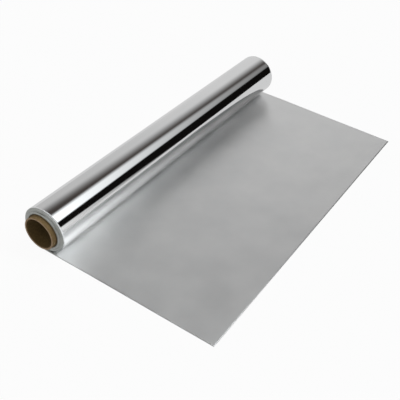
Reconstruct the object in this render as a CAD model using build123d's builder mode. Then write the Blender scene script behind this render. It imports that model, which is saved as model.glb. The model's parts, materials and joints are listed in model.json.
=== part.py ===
from build123d import *
import os

# Household aluminium foil roll, lying on its own free length of foil.
#
# It has two real pieces: one web of foil, wound into a roll with a free length
# drawn out from underneath, and the spiral-wound cardboard tube inside the roll.
#
# Frame, in millimetres: +X along the roll's axis, +Z up, and the free length runs
# towards -Y. The origin is on the surface that the foil lies on, under the middle
# of the whole object.

# The foil web
foil_width = 300.0  # along the axis
foil_thickness = 0.015
free_length = 147.5  # from the line where the web leaves the roll to its cut edge
roll_diameter = 36.8
roll_edge_round = 2.0  # the outer turns' edges are pressed in where the ends are handled

# The cardboard tube
tube_bore = 24.0
tube_wall = 1.3
tube_stand_out = 4.0  # beyond the wound foil at each end
tube_edge_round = 0.3  # the cut mouths are softened inside and outside

# Worked out from those
tube_diameter = tube_bore + 2 * tube_wall
tube_length = foil_width + 2 * tube_stand_out
roll_radius = roll_diameter / 2
axis_y = (free_length - roll_radius) / 2  # centres the footprint on the origin

# Along the axis: its own x and y run along the row's X and Z
lengthways = Plane(origin=(0, axis_y, roll_radius), x_dir=(1, 0, 0), z_dir=(0, -1, 0))
# Across the axis: its own x and y run along the row's Y and Z
crossways = Plane(origin=(0, axis_y, roll_radius), x_dir=(0, 1, 0), z_dir=(1, 0, 0))
roll_axis = Axis(lengthways.origin, lengthways.x_dir)


def ring_wall(length, inner_diameter, outer_diameter):
    """The wall of a ring on one side of its axis, in the lengthways plane."""
    wall = (outer_diameter - inner_diameter) / 2
    with Locations((0, inner_diameter / 2)):
        Rectangle(length, wall, align=(Align.CENTER, Align.MIN))


# The cardboard tube, with softened mouths
with BuildPart() as core_tube:
    with BuildSketch(lengthways) as tube_section:
        ring_wall(tube_length, tube_bore, tube_diameter)
        fillet(tube_section.vertices(), tube_edge_round)
    revolve(axis=roll_axis)
core_tube.part.label = "core_tube"

# The foil: turns tight on the tube, and the free length tangent beneath them
with BuildPart() as foil:
    with BuildSketch(lengthways) as turns_section:
        ring_wall(foil_width, tube_diameter, roll_diameter)
        fillet(turns_section.vertices().group_by(Axis.Y)[-1], roll_edge_round)
    revolve(axis=roll_axis)
    with BuildSketch(crossways):
        with Locations((0, -roll_radius)):
            Rectangle(free_length, foil_thickness, align=(Align.MAX, Align.MIN))
    extrude(amount=foil_width / 2, both=True)
foil.part.label = "foil"

os.makedirs("parts", exist_ok=True)
export_step(core_tube.part, "parts/core_tube.step")
export_step(foil.part, "parts/foil.step")
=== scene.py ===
"""Looks for the aluminium foil roll: bright wound foil, the satin face of the free
length, and the spiral-wound cardboard tube. Metres, in the row's frame: the roll's
axis runs along +X, the free length lies on the floor towards -Y, and +Z is up.

Both ends of the roll are built alike, because the photograph shows only one."""
import json
import math

import bpy
from mathutils import Matrix, Vector, noise


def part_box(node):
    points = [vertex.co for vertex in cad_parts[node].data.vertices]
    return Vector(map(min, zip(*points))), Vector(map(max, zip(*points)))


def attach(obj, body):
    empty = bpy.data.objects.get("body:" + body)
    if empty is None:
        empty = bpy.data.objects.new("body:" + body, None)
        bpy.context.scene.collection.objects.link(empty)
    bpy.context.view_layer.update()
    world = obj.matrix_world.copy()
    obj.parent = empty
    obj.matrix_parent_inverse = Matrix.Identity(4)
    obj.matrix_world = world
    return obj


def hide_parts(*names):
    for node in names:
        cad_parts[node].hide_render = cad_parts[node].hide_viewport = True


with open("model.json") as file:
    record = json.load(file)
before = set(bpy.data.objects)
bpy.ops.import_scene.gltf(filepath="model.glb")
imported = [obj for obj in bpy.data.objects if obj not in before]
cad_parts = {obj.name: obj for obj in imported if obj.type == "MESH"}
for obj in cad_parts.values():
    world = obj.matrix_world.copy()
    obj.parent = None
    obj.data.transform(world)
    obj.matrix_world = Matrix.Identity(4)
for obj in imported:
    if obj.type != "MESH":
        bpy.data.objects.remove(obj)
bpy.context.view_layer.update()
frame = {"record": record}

# ---------------------------------------------------------------- sizes, from the frame
foil_low, foil_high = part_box("foil")
tube_low, tube_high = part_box("core_tube")
bore = next(m for m in frame["record"]["mounts"] if m["name"] == "tube_bore")

ROLL_R = (foil_high.z - foil_low.z) / 2
AXIS_Y = foil_high.y - ROLL_R
AXIS_Z = foil_low.z + ROLL_R
HALF_WIDTH = foil_high.x
FREE_END_Y = foil_low.y
TUBE_R = (tube_high.z - tube_low.z) / 2
TUBE_HALF = tube_high.x
BORE_R = bore["dims"]["r_mm"] / 1000
MM = 0.001


# ---------------------------------------------------------------- mesh helpers
def wave(x, y, scale, seed):
    """Smooth noise of about -1 to 1 with features about `scale` metres across."""
    return noise.noise(Vector((x / scale, y / scale, seed)))


def make_mesh(name, vertices, faces, materials, slots=None):
    mesh = bpy.data.meshes.new(name)
    mesh.from_pydata(vertices, [], faces)
    for material in materials:
        mesh.materials.append(material)
    if slots:
        mesh.polygons.foreach_set("material_index", slots)
    mesh.polygons.foreach_set("use_smooth", [True] * len(faces))
    mesh.update()
    piece = bpy.data.objects.new(name, mesh)
    bpy.context.scene.collection.objects.link(piece)
    return piece


def lathe(name, outline, around, materials, shape=None):
    """Turns a closed outline of (x, radius, slot) about the roll's axis.

    shape(x, radius, angle, slot) returns the finished x and radius of a point."""
    vertices = []
    for x, radius, slot in outline:
        for k in range(around):
            angle = 2 * math.pi * k / around
            px, pr = shape(x, radius, angle, slot) if shape else (x, radius)
            vertices.append((px, AXIS_Y + pr * math.cos(angle), AXIS_Z + pr * math.sin(angle)))
    faces, slots = [], []
    count = len(outline)
    for i in range(count):
        j = (i + 1) % count
        for k in range(around):
            m = (k + 1) % around
            faces.append((i * around + k, j * around + k, j * around + m, i * around + m))
            slots.append(outline[i][2])
    return make_mesh(name, vertices, faces, materials, slots)


def steps(start, end, count):
    """count evenly spaced values from start up to, but not including, end."""
    return [start + (end - start) * i / count for i in range(count)]


# ---------------------------------------------------------------- node helpers
class Nodes:
    """Short names for building a node tree."""

    def __init__(self, tree):
        self.tree = tree
        tree.nodes.clear()

    def add(self, kind, inputs=(), **settings):
        made = self.tree.nodes.new(kind)
        for key, value in settings.items():
            setattr(made, key, value)
        for key, value in dict(inputs).items():
            self.put(made.inputs[key], value)
        return made

    def put(self, socket, value):
        if isinstance(value, bpy.types.NodeSocket):
            self.tree.links.new(value, socket)
        else:
            socket.default_value = value

    def math(self, operation, *values):
        return self.add("ShaderNodeMath", enumerate(values), operation=operation).outputs[0]

    def blend(self, value, low, high, from_low=0.0, from_high=1.0):
        """Smooth step from `from_low` at `low` to `from_high` at `high`."""
        inputs = {"Value": value, "From Min": low, "From Max": high}
        inputs.update({"To Min": from_low, "To Max": from_high})
        return self.add("ShaderNodeMapRange", inputs, interpolation_type="SMOOTHSTEP").outputs[0]

    def colours(self, factor, *stops):
        ramp = self.add("ShaderNodeValToRGB", {"Fac": factor})
        elements = ramp.color_ramp.elements
        while len(elements) < len(stops):
            elements.new(0.5)
        for element, (place, colour) in zip(elements, stops):
            element.position = place
            element.color = (*colour, 1)
        return ramp.outputs[0]

    def noise(self, where, scale, detail=2.0, roughness=0.5):
        inputs = {"Vector": where, "Scale": scale, "Detail": detail, "Roughness": roughness}
        return self.add("ShaderNodeTexNoise", inputs).outputs["Fac"]

    def stretched(self, where, factors):
        return self.add("ShaderNodeVectorMath", {0: where, 1: factors}, operation="MULTIPLY").outputs[0]

    def bump(self, height, distance, strength=1.0, normal=None):
        inputs = {"Height": height, "Distance": distance, "Strength": strength}
        if normal is not None:
            inputs["Normal"] = normal
        return self.add("ShaderNodeBump", inputs).outputs[0]

    def brushed(self):
        """The tangent along the web, which is the way the satin side smears reflections."""
        return self.add("ShaderNodeCombineXYZ", {0: 0.0, 1: 1.0, 2: 0.0}).outputs[0]

    def surface(self, **inputs):
        named = {key.replace("_", " "): value for key, value in inputs.items()}
        shader = self.add("ShaderNodeBsdfPrincipled", named)
        output = self.add("ShaderNodeOutputMaterial")
        self.tree.links.new(shader.outputs[0], output.inputs["Surface"])


def new_material(name):
    material = bpy.data.materials.new(name)
    material.use_nodes = True
    nodes = Nodes(material.node_tree)
    place = nodes.add("ShaderNodeTexCoord").outputs["Object"]
    return material, nodes, place


# ---------------------------------------------------------------- materials
def bright_foil():
    """The bright side: nearly a mirror, with the faint lines of the rolling mill."""
    material, n, place = new_material("bright_foil")
    mill = n.noise(n.stretched(place, (2600, 60, 60)), 1.0, 3.0)
    soft = n.noise(n.stretched(place, (14, 60, 60)), 1.0, 2.0)
    tint = n.colours(soft, (0.3, (0.86, 0.865, 0.87)), (0.7, (0.91, 0.91, 0.91)))
    rough = n.blend(mill, 0.3, 0.7, 0.05, 0.08)
    normal = n.bump(mill, 0.000002, 0.4)
    n.surface(Base_Color=tint, Metallic=1.0, Roughness=rough, Normal=normal)
    return material


def satin_foil():
    """The dull side, which faces up on the free length: satin, smeared along the web, with
    soft waves and handling marks."""
    material, n, place = new_material("satin_foil")
    grain = n.noise(n.stretched(place, (900, 3200, 900)), 1.0, 4.0)
    marks = n.noise(place, 28.0, 3.0)
    waves = n.noise(n.stretched(place, (34, 60, 60)), 1.0, 2.0)
    tint = n.colours(marks, (0.3, (0.83, 0.835, 0.835)), (0.7, (0.91, 0.91, 0.905)))
    rough = n.blend(marks, 0.25, 0.75, 0.31, 0.36)
    normal = n.bump(grain, 0.000004, 0.35, n.bump(waves, 0.0002, 0.5))
    satin = {"Roughness": rough, "Anisotropic": 0.8, "Tangent": n.brushed()}
    n.surface(Base_Color=tint, Metallic=1.0, Normal=normal, **satin)
    return material


def foil_edges():
    """The edges of the turns at each end of the roll, as one fine spiral of lines."""
    material, n, place = new_material("foil_edges")
    line_pitch = 0.12 * MM
    split = n.add("ShaderNodeSeparateXYZ", {0: place})
    up = n.math("SUBTRACT", split.outputs["Z"], AXIS_Z)
    back = n.math("SUBTRACT", split.outputs["Y"], AXIS_Y)
    squares = n.math("ADD", n.math("MULTIPLY", up, up), n.math("MULTIPLY", back, back))
    layers = n.math("DIVIDE", n.math("SQRT", squares), line_pitch)
    around = n.math("DIVIDE", n.math("ARCTAN2", up, back), 2 * math.pi)
    lines = n.math("PINGPONG", n.math("ADD", layers, around), 0.5)
    drift = n.noise(place, 260.0, 3.0)
    shade = n.math("MULTIPLY", n.math("ADD", lines, drift), 0.66)
    tint = n.colours(shade, (0.2, (0.26, 0.275, 0.26)), (0.8, (0.52, 0.53, 0.51)))
    rough = n.blend(drift, 0.3, 0.7, 0.28, 0.45)
    normal = n.bump(shade, 0.00006, 0.8)
    n.surface(Base_Color=tint, Metallic=1.0, Roughness=rough, Normal=normal)
    return material


def cardboard():
    """Kraft board: short fibres and faint stains. Its spiral seam is in the mesh."""
    material, n, place = new_material("cardboard")
    fibres = n.noise(n.stretched(place, (500, 1500, 1500)), 1.0, 5.0, 0.6)
    stain = n.noise(place, 70.0, 3.0)
    mixed = n.math("MULTIPLY", n.math("ADD", fibres, stain), 0.5)
    tint = n.colours(mixed, (0.3, (0.17, 0.105, 0.04)), (0.7, (0.27, 0.18, 0.075)))
    normal = n.bump(fibres, 0.00008, 0.7)
    n.surface(Base_Color=tint, Roughness=n.blend(fibres, 0.3, 0.7, 0.8, 0.95), Normal=normal)
    return material


def shade_painted_inner_ply():
    """The board inside the tube, colored darker as painted shade, since little light reaches into the
    bore.
    """
    material, n, place = new_material("shade_painted_inner_ply")
    fibres = n.noise(n.stretched(place, (500, 1500, 1500)), 1.0, 5.0, 0.6)
    # Painted shade: this kraft is darker than the outer board only to stand for the shade inside the
    # tube.
    tint = n.colours(fibres, (0.3, (0.095, 0.056, 0.015)), (0.7, (0.165, 0.105, 0.032)))
    n.surface(Base_Color=tint, Roughness=0.9, Normal=n.bump(fibres, 0.00008, 0.7))
    return material


def cut_board():
    """The tube's cut mouth: paler, with torn fibres."""
    material, n, place = new_material("cut_board")
    fibres = n.noise(place, 900.0, 4.0)
    tint = n.colours(fibres, (0.3, (0.24, 0.155, 0.085)), (0.7, (0.36, 0.25, 0.155)))
    n.surface(Base_Color=tint, Roughness=0.9, Normal=n.bump(fibres, 0.0001, 0.8))
    return material


# ---------------------------------------------------------------- the wound foil
def build_roll(materials):
    """The wound turns: the outer ones are pressed in at the ends, and the inner ones creep out."""
    bright, edges = 0, 1
    press_out, press_in = 2.3 * MM, 1.1 * MM  # the rounded corner, across the radius and along the axis
    bright_bend = 0.3  # how far round that corner, in radians, the outermost turn shows
    creep = 0.6 * MM  # how far the inner turns stand out past the web's width
    long_steps, corner_steps, bead_steps, inside_steps, around = 260, 10, 16, 8, 200
    bead_r = (ROLL_R - press_out - TUBE_R) / 2
    bead_x = HALF_WIDTH - creep  # where the corner ends and the bead of inner turns starts
    bead_out = HALF_WIDTH + creep - bead_x
    reach = bead_x - press_in

    def end_outline():
        """One end, from the roll's outside in to the tube, with x measured outwards."""
        points = []
        for a in steps(0, math.pi / 2, corner_steps):
            slot = bright if a < bright_bend else edges
            corner_r = ROLL_R - press_out + press_out * math.cos(a)
            points.append((reach + press_in * math.sin(a), corner_r, slot))
        for a in steps(0, math.pi, bead_steps) + [math.pi]:
            turn_r = TUBE_R + bead_r + bead_r * math.cos(a)
            points.append((bead_x + bead_out * math.sin(a), turn_r, edges))
        return points

    def shape(x, radius, angle, slot):
        """Uneven edges at the ends, and a faint ripple along the outermost turn."""
        if radius < TUBE_R + 0.05 * MM:
            return x, radius
        across, along = 9 * math.cos(angle), 9 * math.sin(angle)
        if abs(x) > reach + 0.01 * MM:
            ring = noise.noise(Vector((radius * 1500, x * 1500, 0.5 * math.cos(angle))))
            dent = noise.noise(Vector((across * 0.35, along * 0.35, x * 60)))
            pulled = 0.1 * MM + 0.06 * MM * ring + 0.1 * MM * dent
            return x - math.copysign(pulled, x), radius - 0.05 * MM
        ripple = noise.noise(Vector((x * 16, across * 0.25, along * 0.25)))
        return x, radius - 0.02 * MM + 0.02 * MM * ripple

    right_end = end_outline()
    outline = [(x, ROLL_R, bright) for x in steps(-reach, reach, long_steps)]
    outline += right_end
    outline += [(x, TUBE_R, edges) for x in steps(bead_x, -bead_x, inside_steps)][1:]
    outline += [(-x, r, slot) for x, r, slot in reversed(right_end)]
    return lathe("foil_roll", outline, around, materials, shape)


# ---------------------------------------------------------------- the free length
def build_sheet(materials):
    """The free length: two faces a foil's thickness apart, closed by a rim, from the line under
    the roll's axis to the cut edge. It lies on the floor, and lifts a little away from the roll."""
    satin, bright = 0, 1
    thickness = 0.015 * MM
    columns, rows = 240, 130
    settle = 30 * MM  # the foil lies flat under the roll and frees itself over this length

    def height(x, y):
        away = min(1.0, (AXIS_Y - y) / settle)
        soft = 0.16 * wave(x, y, 34 * MM, 1.7) + 0.07 * wave(x, y * 1.6, 15 * MM, 5.3)
        return away * max(0.0, 0.2 + soft) * MM

    vertices = []
    for lift in (thickness, 0.0):
        for j in range(rows + 1):
            y = AXIS_Y + (FREE_END_Y - AXIS_Y) * j / rows
            for i in range(columns + 1):
                x = -HALF_WIDTH + 2 * HALF_WIDTH * i / columns
                vertices.append((x, y, height(x, y) + lift))
    faces, slots = [], []
    line, under = columns + 1, (columns + 1) * (rows + 1)
    for j in range(rows):
        for i in range(columns):
            a = j * line + i
            faces.append((a, a + line, a + line + 1, a + 1))
            b = a + under
            faces.append((b, b + 1, b + line + 1, b + line))
            slots += [satin, bright]
    for i in range(columns):
        k = rows * line + i
        faces.append((i, i + 1, i + 1 + under, i + under))
        faces.append((k + 1, k, k + under, k + 1 + under))
        slots += [bright, bright]
    for j in range(rows):
        a = j * line
        b = a + columns
        faces.append((a + line, a, a + under, a + line + under))
        faces.append((b, b + line, b + line + under, b + under))
        slots += [bright, bright]
    return make_mesh("free_length", vertices, faces, materials, slots)


# ---------------------------------------------------------------- the cardboard tube
def build_tube(materials):
    """A ring wall with softened mouths, a spiral seam in each face and fuzzy cut ends."""
    # The inner slot takes the bore's board, whose darker color is painted shade.
    board, cut, inner = 0, 1, 2
    lip = 0.3 * MM  # the mouths' rounding
    pitch = 62 * MM  # the plies' advance in one turn
    seam_depth, seam_half = 0.22 * MM, 0.9 * MM
    inner_lag = 0.4  # the inner ply's seam lies this share of a turn behind the outer one's
    long_steps, lip_steps, cut_steps, around = 250, 4, 6, 96
    mid_r = (TUBE_R + BORE_R) / 2
    straight = TUBE_HALF - lip
    quarter = steps(0, math.pi / 2, lip_steps)

    def shape(x, radius, angle, slot):
        across, along = 14 * math.cos(angle), 14 * math.sin(angle)
        fuzz = 0.05 * MM * noise.noise(Vector((x * 700, across, along + radius * 900)))
        if slot == cut:
            return x - math.copysign(abs(fuzz), x), radius
        inside = radius < mid_r
        phase = (x / pitch + angle / (2 * math.pi) + (inner_lag if inside else 0)) % 1
        seam = max(0.0, 1 - min(phase, 1 - phase) * pitch / seam_half)
        depth = seam_depth * seam
        return x, radius + depth if inside else radius - depth

    outline = [(x, TUBE_R, board) for x in steps(-straight, straight, long_steps)]
    outline += [(straight + lip * math.sin(a), TUBE_R - lip + lip * math.cos(a), cut) for a in quarter]
    outline += [(TUBE_HALF, r, cut) for r in steps(TUBE_R - lip, BORE_R + lip, cut_steps)]
    outline += [(straight + lip * math.cos(a), BORE_R + lip - lip * math.sin(a), cut) for a in quarter]
    outline += [(x, BORE_R, inner) for x in steps(straight, -straight, long_steps)]
    outline += [(-straight - lip * math.sin(a), BORE_R + lip - lip * math.cos(a), cut) for a in quarter]
    outline += [(-TUBE_HALF, r, cut) for r in steps(BORE_R + lip, TUBE_R - lip, cut_steps)]
    outline += [(-straight - lip * math.cos(a), TUBE_R - lip + lip * math.sin(a), cut) for a in quarter]
    return lathe("cardboard_tube", outline, around, materials, shape)


# ---------------------------------------------------------------- the stage
def build_floor():
    """A pale table, larger than the view. It is nearly white seen directly, and keeps a share of
    its real shading for the object's shadow. In reflections it is a plain pale grey."""
    white_share, plain_share, plain_level = 0.94, 0.9, 0.68
    material = bpy.data.materials.new("pale_table")
    material.use_nodes = True
    n = Nodes(material.node_tree)
    path = n.add("ShaderNodeLightPath").outputs
    seen = n.math("MAXIMUM", path["Is Camera Ray"], path["Is Transmission Ray"])
    to_white = n.math("MULTIPLY", seen, white_share)
    to_plain = n.math("MULTIPLY", path["Is Glossy Ray"], plain_share)
    matt = n.add("ShaderNodeBsdfDiffuse", {"Color": (0.86, 0.86, 0.86, 1)}).outputs[0]
    white = n.add("ShaderNodeEmission", {"Color": (1, 1, 1, 1), "Strength": 1.0}).outputs[0]
    plain = n.add("ShaderNodeEmission", {"Color": (1, 1, 1, 1), "Strength": plain_level}).outputs[0]
    direct = n.add("ShaderNodeMixShader", {0: to_white, 1: matt, 2: white}).outputs[0]
    mixed = n.add("ShaderNodeMixShader", {0: to_plain, 1: direct, 2: plain}).outputs[0]
    output = n.add("ShaderNodeOutputMaterial")
    n.tree.links.new(mixed, output.inputs["Surface"])
    side, drop = 6.0, -0.05 * MM
    corners = [(-side, -side, drop), (side, -side, drop), (side, side, drop), (-side, side, drop)]
    make_mesh("floor", corners, [(0, 1, 2, 3)], [material])


def build_room():
    """A dark room with a pale wall, a long softbox overhead and a lower panel in front, all set by
    direction.

    `turn` is the angle about the roll's axis in degrees, from +Y over the top to -Y, and `slant`
    is how far a direction leans along the axis: 0 is square to it, and 1 is 45 degrees to +X."""
    world = bpy.data.worlds.new("studio")
    bpy.context.scene.world = world
    world.use_nodes = True
    n = Nodes(world.node_tree)
    split = n.add("ShaderNodeSeparateXYZ", {0: n.add("ShaderNodeTexCoord").outputs["Generated"]})
    x, y, z = split.outputs
    turn = n.math("DEGREES", n.math("ARCTAN2", z, y))
    flat = n.math("SQRT", n.math("ADD", n.math("MULTIPLY", y, y), n.math("MULTIPLY", z, z)))
    slant = n.math("DIVIDE", x, n.math("MAXIMUM", flat, 0.001))

    # The pale wall behind, a little brighter towards +X. Its top edge is higher towards the ends
    lean = n.math("POWER", n.math("MAXIMUM", n.math("ABSOLUTE", slant), 0.5), -1.5)
    wall_top = n.math("SUBTRACT", 100.0, n.math("MULTIPLY", lean, 19.2))
    above_wall = n.math("SUBTRACT", turn, wall_top)
    wall_level = n.blend(slant, 0.3, 1.3, 0.48, 0.66)
    wall = n.math("MULTIPLY", n.blend(above_wall, -26.0, 24.0, 1.0, 0.0), wall_level)

    # Above it, a dim brown ceiling
    ceiling_level = n.blend(turn, 128.0, 142.0, 0.06, 0.004)
    ceiling = n.math("MULTIPLY", n.blend(above_wall, -10.0, 20.0), ceiling_level)

    # The softbox: hottest about slant 0.4, dimmer from there towards +X, and low towards -X
    box_back = n.math("ADD", n.math("MULTIPLY", slant, 21.6), 87.0)
    into_box = n.blend(n.math("SUBTRACT", turn, box_back), -9.0, 9.0)
    out_of_box = n.blend(turn, 136.0, 142.0, 1.0, 0.0)
    falloff = n.math("EXPONENT", n.math("MULTIPLY", n.math("SUBTRACT", slant, 0.69), -2.9))
    hot_part = n.blend(slant, 0.4, 0.5, 7.0, 0.0)
    core = n.math("ADD", n.math("MINIMUM", falloff, 1.6), hot_part)
    box_level = n.blend(slant, 0.22, 0.4, 0.5, core)
    box = n.math("MULTIPLY", box_level, n.math("MULTIPLY", into_box, out_of_box))

    # The lower panel, whose top edge slopes down towards +X
    front = n.math("MAXIMUM", n.math("MULTIPLY", y, -1.0), 0.02)
    slope = n.math("DIVIDE", n.math("ADD", z, n.math("MULTIPLY", x, 0.76)), front)
    fade = n.math("EXPONENT", n.math("MULTIPLY", n.math("SUBTRACT", slant, 0.62), -4.6))
    panel_core = n.math("MINIMUM", n.math("MULTIPLY", fade, 0.72), 1.2)
    panel_level = n.blend(slant, 0.2, 0.5, 0.4, panel_core)
    panel = n.math("MULTIPLY", panel_level, n.blend(slope, 0.68, 0.78, 1.0, 0.0))

    lit = None
    for colour, strength in (
        ((1.0, 1.0, 1.0), wall),
        ((1.0, 0.86, 0.8), ceiling),
        ((0.95, 0.985, 1.0), box),
        ((1.0, 1.0, 1.0), panel),
    ):
        part = n.add("ShaderNodeBackground", {"Color": (*colour, 1), "Strength": strength}).outputs[0]
        lit = n.add("ShaderNodeAddShader", {0: lit, 1: part}).outputs[0] if lit else part

    # The camera itself sees plain white beyond the floor
    white = n.add("ShaderNodeBackground", {"Color": (1, 1, 1, 1), "Strength": 1.0}).outputs[0]
    seen = n.add("ShaderNodeLightPath").outputs["Is Camera Ray"]
    mixed = n.add("ShaderNodeMixShader", {0: seen, 1: lit, 2: white}).outputs[0]
    output = n.add("ShaderNodeOutputWorld")
    n.tree.links.new(mixed, output.inputs["Surface"])


def build_camera():
    """Looks down along the roll from its left end, at the photograph's angle."""
    azimuth, elevation, tilt = (math.radians(a) for a in (-60.724, 39.565, 5.885))
    distance = 0.5487
    target = Vector((-0.0252, -0.00625, 0))
    back = Vector((
        math.sin(azimuth) * math.cos(elevation),
        -math.cos(azimuth) * math.cos(elevation),
        math.sin(elevation),
    ))
    level = Vector((math.cos(azimuth), math.sin(azimuth), 0))
    rise = back.cross(level)
    right = level * math.cos(tilt) + rise * math.sin(tilt)
    up = rise * math.cos(tilt) - level * math.sin(tilt)
    data = bpy.data.cameras.new("camera")
    data.sensor_width = 36
    data.lens = 60.86
    data.shift_x = -0.0488
    data.shift_y = 0.0062
    data.clip_start = 0.01
    camera = bpy.data.objects.new("camera", data)
    turned = Matrix((right, up, back)).transposed().to_4x4()
    camera.matrix_world = Matrix.Translation(target + back * distance) @ turned
    bpy.context.scene.collection.objects.link(camera)
    bpy.context.scene.camera = camera


# ---------------------------------------------------------------- put together
build_camera()
build_floor()
build_room()
bpy.context.scene.view_settings.view_transform = "Standard"

shiny, satin, edges = bright_foil(), satin_foil(), foil_edges()
# inside is the bore's board, colored dark as painted shade.
board, mouth, inside = cardboard(), cut_board(), shade_painted_inner_ply()

roll = build_roll([shiny, edges])
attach(roll, "root")
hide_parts("foil")

sheet = build_sheet([satin, shiny])
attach(sheet, "root")
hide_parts("foil")

tube = build_tube([board, mouth, inside])
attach(tube, "root")
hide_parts("core_tube")
